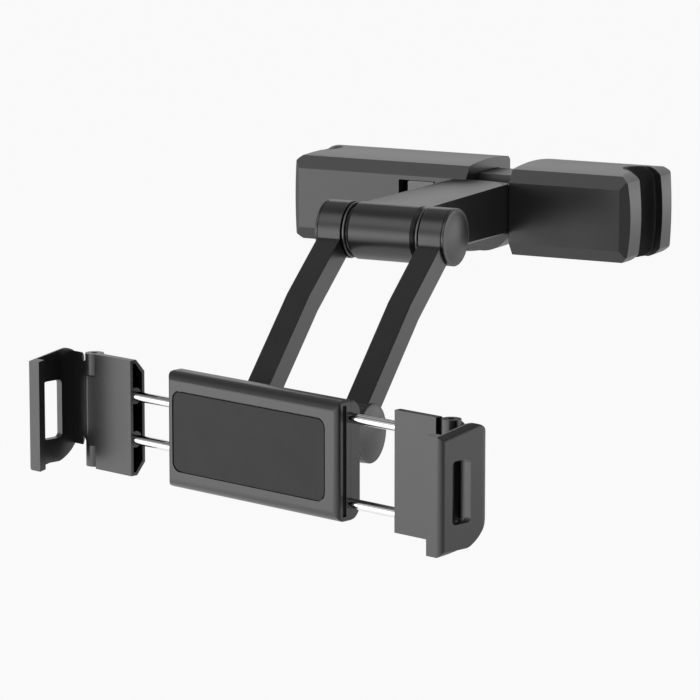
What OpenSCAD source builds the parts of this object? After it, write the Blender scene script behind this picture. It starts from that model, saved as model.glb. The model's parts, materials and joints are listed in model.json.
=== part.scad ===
// Headrest tablet mount: a telescoping clamp between two headrest posts, an
// extension arm, a pair of tilting link arms and a sprung tablet holder on a
// ball swivel. Origin: axis of the left post slot at the clamp's mid-height.
// +X runs to the right post, +Y away from the tablet, +Z up.

/* [Clamp] */
// Distance between the two post axes with the clamp closed
post_gap = 152; // [146:1:172]
// Diameter of the headrest post that each lined slot takes
post_d = 14; // [10:0.5:15]
// Thickness of the rubber lining in each post slot
pad_t = 1.75; // [1:0.25:2.5]
// Height of the clamp at its front crease
clamp_h = 36.2; // [34:0.2:44]
// Distance from the post axes to the clamp's front face
clamp_front = 23.2; // [21:0.2:28]
// Distance from the post axes to the clamp's back face
clamp_back = 20; // [17:0.5:24]
// How far each jaw reaches past the post axis
jaw_reach = 3; // [2:0.5:8]
// How much further the rear jaws reach than the front ones
rear_reach = 2; // [0:0.5:4]
// Height of the bevel along the front edges
bevel_h = 5.3; // [3:0.1:7]
// Depth of the bevel along the front edges
bevel_d = 3.6; // [2:0.1:5]
// Rise of the crowned top and bottom faces
crown = 1.3; // [0.5:0.1:3]
// How far the right half of the clamp pulls out
clamp_travel = 24; // [10:1:24]

/* [Rail] */
// Height of the telescoping rail
rail_h = 28.4; // [22:0.2:29]
// Distance from the post axes to the rail's front face
rail_front = 11; // [9:0.2:13]
// Sliding clearance round the rail
rail_clear = 0.3; // [0.2:0.05:0.5]
// Pitch of the locking teeth on the rail
tooth_pitch = 3; // [2:0.5:5]

/* [Lock slider] */
// Width of the finger window in the left housing
window_w = 17.1; // [14:0.1:20]
// Height of the finger window
window_h = 22; // [16:0.5:23]
// Travel of the lock slider
lock_travel = 3.6; // [2:0.1:5]

/* [Arm] */
// Place of the arm's centre line along the clamp
arm_x = 86.8; // [84:0.1:90]
// Distance from the post axes to the upper hinge axis
arm_reach = 103.1; // [85:0.1:130]
// Height of the upper hinge axis above the clamp's mid-height
arm_rise = 1.3; // [0:0.1:2]
// Width of the arm at its root
root_w = 27.4; // [22:0.2:28]
// Length of the arm's hinge barrel
barrel_w = 30.8; // [26:0.2:34]
// Diameter of the hinge barrel, ears and caps
hinge_d = 23.4; // [20:0.2:28]

/* [Link arms] */
// Distance between the upper and lower hinge axes
link_l = 98.8; // [80:0.2:140]
// Angle of the link arms below the horizontal
link_angle = 43; // [20:1:60]
// Width of each link bar and ear
bar_w = 10.3; // [8:0.1:12]
// Thickness of each link bar
bar_t = 10.2; // [8:0.1:12]
// Distance from the upper hinge axis to the bend in each bar
bar_bend = 42; // [30:1:60]
// How far each bar stands before the line between the axes, below its bend
bar_offset = 4.6; // [0:0.1:5]
// Thickness of the friction washers beside the barrels
washer_t = 2; // [1.5:0.1:3]
// Diameter of the two hinge axles
axle_d = 6; // [4:0.5:8]

/* [Ball swivel] */
// Distance from the lower hinge axis to the ball's centre
ball_reach = 18.5; // [17:0.5:24]
// Diameter of the ball
ball_d = 11; // [10:0.5:12]
// Angle by which the holder is turned to the left at rest
holder_yaw = 16.65; // [0:0.05:20]
// How far the holder's centre hangs below the ball
holder_drop = 1.6; // [0:0.1:2]

/* [Holder] */
// Width of the centre block
block_w = 94; // [90:1:110]
// Height of the centre block and of the jaw blocks
block_h = 46.8; // [46:0.2:54]
// Thickness of the centre block
block_t = 12.5; // [12:0.1:16]
// Distance from the ball's centre to the block's front face
face_reach = 18.5; // [18.5:0.1:24]
// Width of the grip pad
grip_w = 83.3; // [70:0.1:85]
// Height of the grip pad
grip_h = 31.4; // [26:0.1:36]

/* [Jaws] */
// Diameter of the guide rods
rod_d = 4; // [3:0.1:4.2]
// Depth of the rod axes behind the block's front face
rod_depth = 7.6; // [7.4:0.1:8]
// Half the spacing of the right jaw's outer rods
rod_outer = 16.5; // [16:0.1:18]
// Half the spacing of the left jaw's inner rods
rod_inner = 8.8; // [8.6:0.1:9.2]
// Gap between the centre block and each jaw block at rest
jaw_gap = 25.7; // [25:0.1:32]
// Width of each jaw block up to its hinge
jaw_w = 21.1; // [19:0.1:26]
// Thickness of each jaw block
jaw_t = 7.6; // [7.2:0.1:9]
// Depth of the jaw front faces behind the block's front face
jaw_depth = 4.6; // [4.2:0.1:5]
// How far each jaw opens from its rest place
jaw_out = 16; // [8:1:16]
// How far each jaw closes from its rest place
jaw_in = 24; // [10:1:24]

/* [Hooks] */
// Height of each hook
hook_h = 47.5; // [46:0.5:56]
// Distance from the hook hinge axis to the hook's outer face
hook_out = 15.9; // [12:0.1:17]
// Wall thickness of the hooks
hook_wall = 3; // [2.4:0.1:4]
// Depth of the hooks from lip to back
hook_depth = 26.1; // [22:0.1:32]
// Width of the hook's lip over its whole thickness
lip_w = 7.4; // [6:0.1:9]
// Height of the slot in each hook
slot_h = 23.8; // [16:0.2:26]
// Width of the slot in each hook
slot_w = 9.8; // [6:0.1:11]

/* [Hidden] */
$fn = 64;

shell_col = [0.24, 0.24, 0.25];
dark_col = [0.16, 0.16, 0.17];
pad_col = [0.1, 0.1, 0.1];
steel_col = [0.8, 0.8, 0.82];

// small lengths shared by many pieces
eps = 0.01;
run_clear = 0.05;
part_gap = 0.3;
wall = 2.4;

// clamp
half_h = clamp_h / 2;
slot_r = post_d / 2 + pad_t;
cover_y = slot_r;
end_bulge = 1.4;
rail_back = cover_y - rail_clear;
channel_h = rail_h + 2 * rail_clear;
saddle_lap = 6.1;
left_end = arm_x - saddle_lap;
right_start = arm_x + root_w / 2 + part_gap;
right_end = post_gap + jaw_reach;
end_block = 9.2;
slot_run = jaw_reach + rear_reach + 5;
rail_grip = 26.4;
rail_x0 = max(slot_r + end_block, left_end - clamp_travel - rail_grip);
rail_x1 = post_gap - slot_r - end_block;
saddle_top = 11.5;
saddle_low = 16.8;
saddle_r = 14;
window_margin = 14.7;
window_x = left_end - window_margin - window_w;
slider_w = window_w - lock_travel - 0.9;
screw_d = 3;
screw_head_d = 5.6;
screw_head_t = 2;

// hinges
ear_x = barrel_w / 2 + washer_t + 0.15;
hinge_r = hinge_d / 2;
hinge_end = ear_x + bar_w;
cap_t = 1.2;
cap_dome = 1.0;
axle_r = axle_d / 2;
lower_y = -arm_reach - link_l * cos(link_angle);
lower_z = arm_rise - link_l * sin(link_angle);
knuckle_r = 9.5;
washer_r = hinge_r - 0.4;

// ball swivel
ball_r = ball_d / 2;
socket_wall = 1.6;
socket_skirt = 2.6;
socket_r = ball_r + socket_skirt;
socket_back = 3;
flange_lip = 5.5;
flange_r = ball_r + flange_lip;
flange_gap = 0.4;
flange_d0 = block_t + flange_gap;
flange_t = 1.5;
retainer_t = 1.9;
retainer_lip = 2;
retainer_r = flange_r + retainer_lip;
swivel_boss_wall = 2;
swivel_boss_r = retainer_r + swivel_boss_wall;

// holder: x along the block, depth behind its front face, z up
block_x = block_w / 2;
jaw_x0 = block_x + jaw_gap;
hook_x = jaw_x0 + jaw_w + jaw_t / 2 + 0.4;
hook_axis_depth = jaw_depth + jaw_t / 2;
rod_r = rod_d / 2;
cavity_x = block_x - 3;
cavity_z = block_h / 2 - 2.9;
cavity_d0 = 3.4;
cavity_d1 = 10.2;
grip_x = -1.5;
grip_t = 1.4;
grip_groove = 0.5;

// rack and pinion
module_size = 0.8;
pinion_teeth = 10;
pinion_r = module_size * pinion_teeth / 2;
rack_d0 = cavity_d0 + 0.4;
rack_d1 = 7.2;
rack_arm_t = 1.4;
rack_back = rod_inner - rod_r - 0.3;
sleeve_r = rod_r + 1.2;
sleeve_l = 8;
rod_inner_end = jaw_out + 3;
rod_grip = jaw_w - 4;
guide_l = 12;
pinion_pin_r = 1.5;

// general helpers

// rectangle from (x0, y0) to (x1, y1)
module span(x0, y0, x1, y1)
    translate([x0, y0])
        square([x1 - x0, y1 - y0]);

// rectangle with four corner radii r
module round_rect(x0, y0, x1, y1, r) {
    span(x0 + r, y0, x1 - r, y1);
    span(x0, y0 + r, x1, y1 - r);
    for (x = [x0 + r, x1 - r])
        for (y = [y0 + r, y1 - r])
            translate([x, y])
                circle(r);
}

// extrudes an outline drawn in (y, z) along X from x0 to x1
module along_x(x0, x1)
    translate([x0, 0, 0])
        rotate([90, 0, 90])
            linear_extrude(x1 - x0)
                children();

// extrudes an outline drawn in (x, z) along Y from y0 to y1
module along_y(y0, y1)
    translate([0, y1, 0])
        rotate([90, 0, 0])
            linear_extrude(y1 - y0)
                children();

// extrudes an outline drawn in (x, y) along Z from z0 to z1
module along_z(z0, z1)
    translate([0, 0, z0])
        linear_extrude(z1 - z0)
            children();

// cylinder along X from x0 to x1
module rod_x(r, x0, x1)
    translate([x0, 0, 0])
        rotate([0, 90, 0])
            cylinder(r = r, h = x1 - x0);

// cylinder along Y from y0 to y1
module rod_y(r, y0, y1)
    translate([0, y1, 0])
        rotate([90, 0, 0])
            cylinder(r = r, h = y1 - y0);

// clamp

// the crown is an arc through the front crease and the back edge
back_edge = 1.6;
crown_half = (clamp_front - bevel_d + clamp_back - back_edge) / 2;
crown_mid = (clamp_back - back_edge - clamp_front + bevel_d) / 2;
crown_r = (pow(crown_half, 2) + pow(crown, 2)) / (2 * crown);
bulge_r = (pow(half_h, 2) + pow(end_bulge, 2)) / (2 * end_bulge);
clear_z = half_h + crown + 1;

// side outline of the clamp: bevelled front edges and crowned faces, in (y, z)
module clamp_section() {
    over = crown + 1;
    crease_y = -clamp_front + bevel_d + over * bevel_d / bevel_h;
    intersection() {
        polygon([
            [-clamp_front, bevel_h - half_h],
            [-clamp_front, half_h - bevel_h],
            [crease_y, clear_z],
            [clamp_back - back_edge - over, clear_z],
            [clamp_back, half_h - back_edge],
            [clamp_back, back_edge - half_h],
            [clamp_back - back_edge - over, -clear_z],
            [crease_y, -clear_z]]);
        translate([crown_mid, half_h + crown - crown_r])
            circle(crown_r, $fn = 180);
        translate([crown_mid, crown_r - half_h - crown])
            circle(crown_r, $fn = 180);
    }
}

// front outline of a clamp half, bulged at its outer end, in (x, z);
// side is -1 for an end facing -X and 1 for one facing +X
module clamp_elevation(x_out, x_in, side) {
    corner = 9.5;
    near = x_out + side * 0.8;
    far = x_in - side * 2 * corner;
    intersection() {
        round_rect(min(near, far), -half_h - crown - eps,
            max(near, far), half_h + crown + eps, corner);
        translate([x_out - side * bulge_r, 0])
            circle(bulge_r, $fn = 180);
    }
}

// plan of a clamp half with its outer edges bevelled, in (x, y)
module clamp_plan(x_out, x_in, side)
    polygon([
        [x_in - side, -clamp_front - 1],
        [x_out - side * (bevel_d + 1), -clamp_front - 1],
        [x_out + side, -clamp_front + bevel_d + 1],
        [x_out + side, clamp_back - back_edge - 1],
        [x_out - side * (back_edge + 1), clamp_back + 1],
        [x_in - side, clamp_back + 1]]);

// solid form of one clamp half between the depths y0 and y1
module clamp_half(x_out, x_in, side, y0, y1) {
    far = x_out + side;
    intersection() {
        along_x(min(far, x_in), max(far, x_in))
            clamp_section();
        along_y(y0, y1)
            clamp_elevation(x_out, x_in, side);
        along_z(-clear_z, clear_z)
            clamp_plan(x_out, x_in, side);
    }
}

// open-ended slot round a post at x, with radius r
module post_slot(x, side, r)
    along_z(-clamp_h, clamp_h) {
        translate([x, 0])
            circle(r);
        span(min(x, x + side * slot_run), -r, max(x, x + side * slot_run), r);
    }

// U-shaped rubber lining, flush with the clamp's crowned faces
module post_pad(x, x_out, side)
    difference() {
        intersection() {
            along_x(min(x_out, x - side * slot_r), max(x_out, x - side * slot_r))
                clamp_section();
            post_slot(x, side, slot_r);
            along_y(-slot_r, slot_r)
                clamp_elevation(x_out - side * 0.6, x - side * 2 * slot_r, side);
        }
        post_slot(x, side, post_d / 2);
    }

// screw places, in (x, z), for the two back covers, between post slot and rail
screw_inset = 7;
screw_z = half_h - screw_inset;
screw_in = slot_r + end_block / 2;
function left_screws() = [for (z = [-1, 1]) [screw_in, z * screw_z]];
function right_screws() = [for (z = [-1, 1]) [post_gap - screw_in, z * screw_z]];
screw_grip = 7;
screw_y0 = cover_y - screw_grip;
screw_sink = 2;

// countersunk holes for the cover screws, run through cover and housing
module cover_screw_holes(places, r)
    for (p = places)
        translate([p[0], 0, p[1]]) {
            rod_y(r, screw_y0 - 1, clamp_back + 1);
            rod_y(screw_head_d / 2 + 0.2, clamp_back - screw_sink - screw_head_t, clamp_back + 1);
        }

// pan-head screws with a cross recess
module cover_screws(places)
    for (p = places)
        translate([p[0], 0, p[1]])
            difference() {
                union() {
                    rod_y(screw_d / 2, screw_y0, clamp_back - screw_sink - screw_head_t + eps);
                    rod_y(screw_head_d / 2, clamp_back - screw_sink - screw_head_t,
                        clamp_back - screw_sink);
                }
                for (turn = [0, 90])
                    rotate([0, turn, 0])
                        translate([-screw_head_d * 0.36, clamp_back - screw_sink - 1, -0.3])
                            cube([screw_head_d * 0.72, 1 + eps, 0.6]);
            }

// channel that the rail slides in, open at the back
module rail_channel(x0, x1)
    translate([x0, -rail_front - rail_clear, -channel_h / 2])
        cube([x1 - x0, rail_front + rail_clear + cover_y + 1, channel_h]);

// front plate behind the arm's root, with its curved lower corner
module saddle() {
    right = arm_x + root_w / 2;
    along_y(-clamp_front, -rail_front - rail_clear)
        intersection() {
            span(left_end - 1, -saddle_low, right, saddle_top);
            union() {
                span(left_end - 1, -saddle_low, right - saddle_r + 2, saddle_top);
                span(left_end - 1, saddle_r - saddle_low, right, saddle_top);
                translate([right - saddle_r + 2, saddle_r - saddle_low])
                    circle(saddle_r);
            }
        }
}

// screws that hold the arm to the saddle from inside the housing
arm_screw_len = 13;
arm_screw_half = 7.5;
function arm_screw_places() = [for (side = [-1, 1]) [arm_x + side * arm_screw_half, arm_rise]];

module left_housing() {
    color(shell_col)
        difference() {
            union() {
                clamp_half(-jaw_reach, left_end, -1, -clamp_front - 1, cover_y);
                saddle();
            }
            post_slot(0, -1, slot_r);
            rail_channel(rail_x0 - 0.8, left_end + 1);
            // finger window and the pocket of the slider's flange
            along_y(-clamp_front - 1, -rail_front)
                span(window_x, -window_h / 2, window_x + window_w, window_h / 2);
            along_y(-rail_front - 3.4, -rail_front)
                span(window_x - 2.5, -window_h / 2 - 1.6,
                    window_x + window_w + 2.5, window_h / 2 + 1.6);
            for (p = left_screws())
                translate([p[0], 0, p[1]])
                    rod_y(screw_d / 2, screw_y0 - 1, cover_y + 1);
            for (p = arm_screw_places())
                translate([p[0], 0, p[1]]) {
                    rod_y(screw_d / 2, -clamp_front - 1, -rail_front);
                    rod_y(screw_head_d / 2 + 0.2, -rail_front - rail_clear - screw_head_t - 1,
                        -rail_front);
                }
        }
}

// back half of a clamp jaw, with its screw holes
module back_cover(x_out, x_in, x_post, side, places)
    difference() {
        clamp_half(x_out, x_in, side, cover_y, clamp_back + 1);
        cover_screw_holes(places, screw_d / 2);
        // lightening pocket on the inner face, clear of the screws
        pocket_a = x_post - side * (slot_r + end_block + 1);
        pocket_b = x_in + side * 5;
        along_y(cover_y - 1, clamp_back - wall - 2)
            round_rect(min(pocket_a, pocket_b), -half_h + 4, max(pocket_a, pocket_b), half_h - 4, 2);
    }

module left_back_cover() {
    color(shell_col)
        back_cover(-jaw_reach - rear_reach, left_end, 0, -1, left_screws());
}

module left_post_pad() {
    color(pad_col)
        post_pad(0, -jaw_reach, -1);
}

module left_clamp_screws() {
    color(steel_col)
        cover_screws(left_screws());
}

module right_housing() {
    color(shell_col)
        difference() {
            clamp_half(right_end, right_start, 1, -clamp_front - 1, cover_y);
            post_slot(post_gap, 1, slot_r);
            // socket of the rail, a close fit all round
            translate([right_start - 1, -rail_front, -rail_h / 2])
                cube([rail_x1 - right_start + 1, rail_front + cover_y + 1, rail_h]);
            for (p = right_screws())
                translate([p[0], 0, p[1]])
                    rod_y(screw_d / 2, screw_y0 - 1, cover_y + 1);
            for (p = rail_pin_places())
                translate([p[0], 0, p[1]])
                    rod_y(rail_pin_d / 2, -rail_front - rail_pin_grip, -rail_front + 1);
        }
}

module right_back_cover() {
    color(shell_col)
        back_cover(right_end + rear_reach, right_start, post_gap, 1, right_screws());
}

module right_post_pad() {
    color(pad_col)
        post_pad(post_gap, right_end, 1);
}

module right_clamp_screws() {
    color(steel_col)
        cover_screws(right_screws());
}

rail_pin_d = 4;
rail_pin_grip = 6;
rail_pin_inset = 16;
function rail_pin_places() = [for (z = [-1, 1]) [right_start + rail_pin_inset, z * rail_h * 0.22]];

// hollow rail open at the back, with locking teeth across its front
module telescoping_rail() {
    rail_wall = 2.6;
    tooth_row = 14;
    teeth_x0 = rail_x0 + 2;
    teeth_n = floor((window_x + window_w - teeth_x0) / tooth_pitch);
    color(dark_col)
        difference() {
            translate([rail_x0, -rail_front, -rail_h / 2])
                cube([rail_x1 - rail_x0, rail_front + rail_back, rail_h]);
            translate([rail_x0 + rail_wall, -rail_front + rail_wall + 1.5, -rail_h / 2 + rail_wall])
                cube([rail_x1 - rail_x0 - 2 * rail_wall, rail_front + rail_back, rail_h - 2 * rail_wall]);
            for (i = [0 : teeth_n - 1])
                translate([teeth_x0 + i * tooth_pitch, -rail_front - 1, -tooth_row / 2])
                    cube([tooth_pitch / 2, 2.2, tooth_row]);
            for (p = rail_pin_places())
                translate([p[0], 0, p[1]])
                    rod_y(rail_pin_d / 2, -rail_front - 1, 0);
        }
}

// dowels that lock the rail into the right housing
module rail_pins() {
    color(steel_col)
        for (p = rail_pin_places())
            translate([p[0], 0, p[1]])
                rod_y(rail_pin_d / 2, -rail_front - rail_pin_grip, -rail_front + rail_pin_grip);
}

// push button of the rail lock with its hidden flange and blade
module lock_slider() {
    x0 = window_x + window_w - slider_w - 0.4;
    color(dark_col) {
        along_y(-clamp_front + 0.3, -rail_front - 0.6)
            round_rect(x0, -window_h / 2 + 0.15, x0 + slider_w, window_h / 2 - 0.15, 1);
        along_y(-rail_front - 3, -rail_front - 0.6)
            span(x0 - 1.8, -window_h / 2 - 1.2, x0 + slider_w + 1.8, window_h / 2 + 1.2);
    }
}

// arm and links

arm_top = arm_rise + hinge_r;
arm_belly = 9.7;
arm_low = arm_rise - arm_belly;
arm_screw_root = 6;
arm_screw_bite = arm_screw_len - arm_screw_root;

// moulded arm: a crowned beam that ends in the hinge barrel
module extension_arm() {
    edge = 1.4;
    side_drop = 0.9;
    half = barrel_w / 2;
    crown_side_r = (pow(half, 2) + pow(side_drop, 2)) / (2 * side_drop);
    barrel_edge = 1.6;
    color(shell_col)
        difference() {
            union() {
                // beam: plan taper, bevelled lower edges and crowned top
                intersection() {
                    along_z(arm_low, arm_top)
                        polygon([
                            [arm_x - root_w / 2, -clamp_front],
                            [arm_x + root_w / 2, -clamp_front],
                            [arm_x + half, -arm_reach],
                            [arm_x - half, -arm_reach]]);
                    along_y(-arm_reach, -clamp_front)
                        polygon([
                            [arm_x - half, arm_low + 2],
                            [arm_x - half + 2, arm_low],
                            [arm_x + half - 2, arm_low],
                            [arm_x + half, arm_low + 2],
                            [arm_x + half, arm_top],
                            [arm_x - half, arm_top]]);
                    along_y(-arm_reach, -clamp_front)
                        translate([arm_x, arm_top - crown_side_r])
                            circle(crown_side_r, $fn = 180);
                }
                // hinge barrel with bevelled ends
                translate([arm_x, -arm_reach, arm_rise])
                    rotate([0, 90, 0])
                        rotate_extrude()
                            polygon([
                                [0, -half],
                                [hinge_r - barrel_edge, -half],
                                [hinge_r, -half + barrel_edge],
                                [hinge_r, half - barrel_edge],
                                [hinge_r - barrel_edge, half],
                                [0, half]]);
                // root flange, a little proud of the beam
                along_y(-clamp_front - 2.5, -clamp_front)
                    round_rect(arm_x - root_w / 2, arm_low - 0.8,
                        arm_x + root_w / 2, arm_top - 0.4, edge);
            }
            translate([arm_x, -arm_reach, arm_rise])
                rod_x(axle_r + run_clear, -half - 1, half + 1);
            for (p = arm_screw_places())
                translate([p[0], 0, p[1]])
                    rod_y(screw_d / 2, -clamp_front - arm_screw_bite, -clamp_front + 1);
        }
}

module arm_screws() {
    head_y = -rail_front - rail_clear - 0.6;
    color(steel_col)
        for (p = arm_screw_places())
            translate([p[0], 0, p[1]]) {
                rod_y(screw_d / 2, -clamp_front - arm_screw_bite, head_y - screw_head_t + eps);
                rod_y(screw_head_d / 2, head_y - screw_head_t, head_y);
            }
}

// moves children from the upper hinge frame to the world
module at_upper()
    translate([arm_x, -arm_reach, arm_rise])
        children();

module at_lower()
    translate([arm_x, lower_y, lower_z])
        children();

// one link: two ears and a gently bent square bar; x0 is its left side
module link_arm(x0) {
    recess = axle_r + 3;
    // where the upright flat under the upper ear meets the bar's front face
    slope = bar_offset / bar_bend;
    flat_run = (hinge_r - bar_t / 2 * sin(link_angle)) / (cos(link_angle) + slope * sin(link_angle));
    flat = flat_run * sin(link_angle) - (bar_t / 2 + slope * flat_run) * cos(link_angle);
    near = bar_t / 2 + bar_offset;
    far = bar_t / 2 - bar_offset;
    cap_side = (x0 > 0) ? 1 : 0;
    color(shell_col)
        at_upper()
            difference() {
                union() {
                    rod_x(hinge_r, x0, x0 + bar_w);
                    translate([0, -link_l * cos(link_angle), -link_l * sin(link_angle)])
                        rod_x(hinge_r, x0, x0 + bar_w);
                    along_x(x0, x0 + bar_w) {
                        rotate(180 + link_angle)
                            polygon([
                                [0, -bar_t / 2],
                                [bar_bend, -near],
                                [link_l, -near],
                                [link_l, far],
                                [bar_bend, far],
                                [0, bar_t / 2]]);
                        // upright flat under the upper ear
                        span(-hinge_r, -flat, 0, 0);
                    }
                }
                for (place = [[0, 0], [-link_l * cos(link_angle), -link_l * sin(link_angle)]])
                    translate([0, place[0], place[1]]) {
                        rod_x(axle_r, x0 - 1, x0 + bar_w + 1);
                        // seat of the bolt head or nut under the cap
                        rod_x(recess, cap_side ? x0 + bar_w - 4 : x0 - 1,
                            cap_side ? x0 + bar_w + 1 : x0 + 4);
                    }
            }
}

module left_link_arm()
    link_arm(-ear_x - bar_w);

module right_link_arm()
    link_arm(ear_x);

// shoulder bolt through both ears, with its head at the right and a nut at the left
module hinge_axle() {
    color(steel_col) {
        rod_x(axle_r, -hinge_end + 0.6, hinge_end - 4 + eps);
        rod_x(axle_r + 2.4, hinge_end - 4, hinge_end - 0.8);
        translate([-hinge_end + 0.6, 0, 0])
            rotate([0, 90, 0])
                cylinder(r = axle_r + 2.4, h = 3.4, $fn = 6);
    }
}

module upper_axle()
    at_upper()
        hinge_axle();

module lower_axle()
    at_lower()
        hinge_axle();

// domed cover disc on the outer side of an ear, side is -1 or 1
module hinge_cap(side) {
    dome_r = (pow(hinge_r - 0.5, 2) + pow(cap_dome, 2)) / (2 * cap_dome);
    spigot_r = axle_r + 2.9;
    color(dark_col)
        translate([side * hinge_end, 0, 0])
            mirror([side < 0 ? 1 : 0, 0, 0])
                rotate([0, 90, 0]) {
                    cylinder(r = hinge_r, h = cap_t);
                    intersection() {
                        translate([0, 0, cap_t + cap_dome - dome_r])
                            sphere(dome_r, $fn = 180);
                        cylinder(r = hinge_r - 0.5, h = cap_t + cap_dome);
                    }
                    translate([0, 0, -0.6])
                        cylinder(r = spigot_r, h = 0.7);
                }
}

module upper_left_cap()
    at_upper()
        hinge_cap(-1);

module upper_right_cap()
    at_upper()
        hinge_cap(1);

module lower_left_cap()
    at_lower()
        hinge_cap(-1);

module lower_right_cap()
    at_lower()
        hinge_cap(1);

// friction washer between a barrel and an ear, stepped so that a ring stands out
// between two grooves; inner is the barrel's half-length
module hinge_washer(side, inner) {
    groove_w = 0.55;
    groove_d = 1.6;
    a = side > 0 ? inner + 0.1 : -ear_x;
    b = side > 0 ? ear_x : -inner - 0.1;
    color(dark_col)
        difference() {
            union() {
                rod_x(washer_r - groove_d, a, b);
                rod_x(washer_r, a + groove_w, b - groove_w);
            }
            rod_x(axle_r, a - 1, b + 1);
        }
}

module upper_left_washer()
    at_upper()
        hinge_washer(-1, barrel_w / 2);

module upper_right_washer()
    at_upper()
        hinge_washer(1, barrel_w / 2);

module lower_left_washer()
    at_lower()
        hinge_washer(-1, barrel_w / 2);

module lower_right_washer()
    at_lower()
        hinge_washer(1, barrel_w / 2);

// ball swivel

// lower hinge barrel with the neck and ball of the swivel
module ball_knuckle() {
    neck_r = 3;
    half = barrel_w / 2;
    color(dark_col)
        at_lower()
            difference() {
                union() {
                    rod_x(knuckle_r, -half, half);
                    rod_y(neck_r, -ball_reach, 0);
                    // conical foot of the neck
                    translate([0, -knuckle_r + 1.5, 0])
                        rotate([90, 0, 0])
                            cylinder(r1 = neck_r + 2.5, r2 = neck_r, h = 2.6, $fn = 64);
                    translate([0, -ball_reach, 0])
                        rotate_extrude()
                            intersection() {
                                circle(ball_r);
                                span(0, -ball_r, ball_r, ball_r);
                            }
                }
                rod_x(axle_r + run_clear, -half - 1, half + 1);
            }
}

// moves children from the holder's frame: x along the block, y the depth
// behind the ball's centre, z up
module at_ball()
    translate([arm_x, lower_y - ball_reach, lower_z])
        rotate([0, 0, -holder_yaw])
            children();

// the same with y as the depth behind the block's front face and z from its centre
module in_holder()
    at_ball()
        translate([0, -face_reach, -holder_drop])
            children();

// solid of revolution about the swivel axis, from (radius, depth) outlines
module about_swivel()
    at_ball()
        translate([0, -face_reach, 0])
            rotate([-90, 0, 0])
                rotate_extrude()
                    children();

// cup that snaps on the ball, with the flange it turns on
module swivel_socket() {
    nose = face_reach - ball_r - socket_wall;
    rim = face_reach + socket_back;
    mouth = sqrt(pow(ball_r + run_clear, 2) - pow(socket_back, 2));
    color(dark_col)
        about_swivel()
            difference() {
                union() {
                    span(0, nose, socket_r, rim);
                    span(0, flange_d0, flange_r, flange_d0 + flange_t);
                }
                translate([0, face_reach])
                    circle(ball_r + run_clear);
                // flared mouth that lets the neck swing
                polygon([
                    [0, rim - 1.2],
                    [mouth - 0.1, rim - 1.2],
                    [mouth + 1.4, rim + 0.1],
                    [0, rim + 0.1]]);
            }
}

// holder

front_r = 4.6;
rear_r = 6;
side_r = 2.6;
corner_r = 1.2;
end_groove_d0 = 3.2;
end_groove_d1 = 5.2;
end_groove_in = 1;

// side outline of the centre block, in (depth, z): round front edges, larger rear ones
module block_section() {
    h = block_h / 2;
    union() {
        span(front_r, -h, block_t - rear_r, h);
        span(0, -h + front_r, block_t / 2, h - front_r);
        span(block_t / 2, -h + rear_r, block_t, h - rear_r);
        for (z = [-1, 1]) {
            translate([front_r, z * (h - front_r)])
                circle(front_r);
            translate([block_t - rear_r, z * (h - rear_r)])
                circle(rear_r);
        }
    }
}

// full outer form of the centre block
module block_form()
    intersection() {
        along_x(-block_x, block_x)
            block_section();
        along_y(0, block_t)
            round_rect(-block_x, -block_h / 2, block_x, block_h / 2, corner_r);
        along_z(-block_h, block_h)
            round_rect(-block_x, 0, block_x, block_t + side_r, side_r);
    }

// heights of the two rods that leave the block on one side
function rod_heights(side) = side > 0 ? [-rod_outer, rod_outer] : [-rod_inner, rod_inner];

// screws that join the shells, in a row between the two racks
shell_bolt_inset = 6;
shell_bolt_gap = 5;
function shell_bolts() = [for (x = [-1, 1]) for (far = [0, 1])
    [x * (far ? cavity_x - shell_bolt_inset : swivel_boss_r + shell_bolt_gap), 0]];
bolt_r = 1;

// bores for the rods through the end walls
module rod_bores()
    for (side = [-1, 1])
        for (z = rod_heights(side))
            translate([0, rod_depth, z])
                rod_x(rod_r + run_clear, min(0, side * (block_x + 1)), max(0, side * (block_x + 1)));

// front half of the block, open at its back
module front_shell() {
    color(shell_col)
        in_holder()
            difference() {
                intersection() {
                    block_form();
                    along_y(0, rod_depth)
                        span(-block_w, -block_h, block_w, block_h);
                }
                difference() {
                    along_y(cavity_d0, rod_depth + 1)
                        round_rect(-cavity_x, -cavity_z, cavity_x, cavity_z, 2);
                    // bosses for the shell screws
                    for (p = shell_bolts())
                        translate([p[0], 0, p[1]])
                            rod_y(bolt_r + 1, 0, rod_depth + 2);
                }
                rod_bores();
                // recess of the grip pad
                along_y(-1, grip_t - 0.4)
                    round_rect(grip_x - grip_w / 2 - grip_groove, -grip_h / 2 - grip_groove,
                        grip_x + grip_w / 2 + grip_groove, grip_h / 2 + grip_groove,
                        3.5 + grip_groove);
                for (p = shell_bolts())
                    translate([p[0], 0, p[1]])
                        rod_y(bolt_r, cavity_d0 - 0.6, rod_depth + 1);
                // seat of the pinion's axle
                rod_y(pinion_pin_r, cavity_d0 - 1, rod_depth);
                // upright groove across both end faces
                for (side = [-1, 1])
                    along_x(side > 0 ? block_x - end_groove_in : -block_x - 1,
                        side > 0 ? block_x + 1 : end_groove_in - block_x)
                        span(end_groove_d0, -block_h / 2 + 2, end_groove_d1, block_h / 2 - 2);
            }
}

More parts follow.
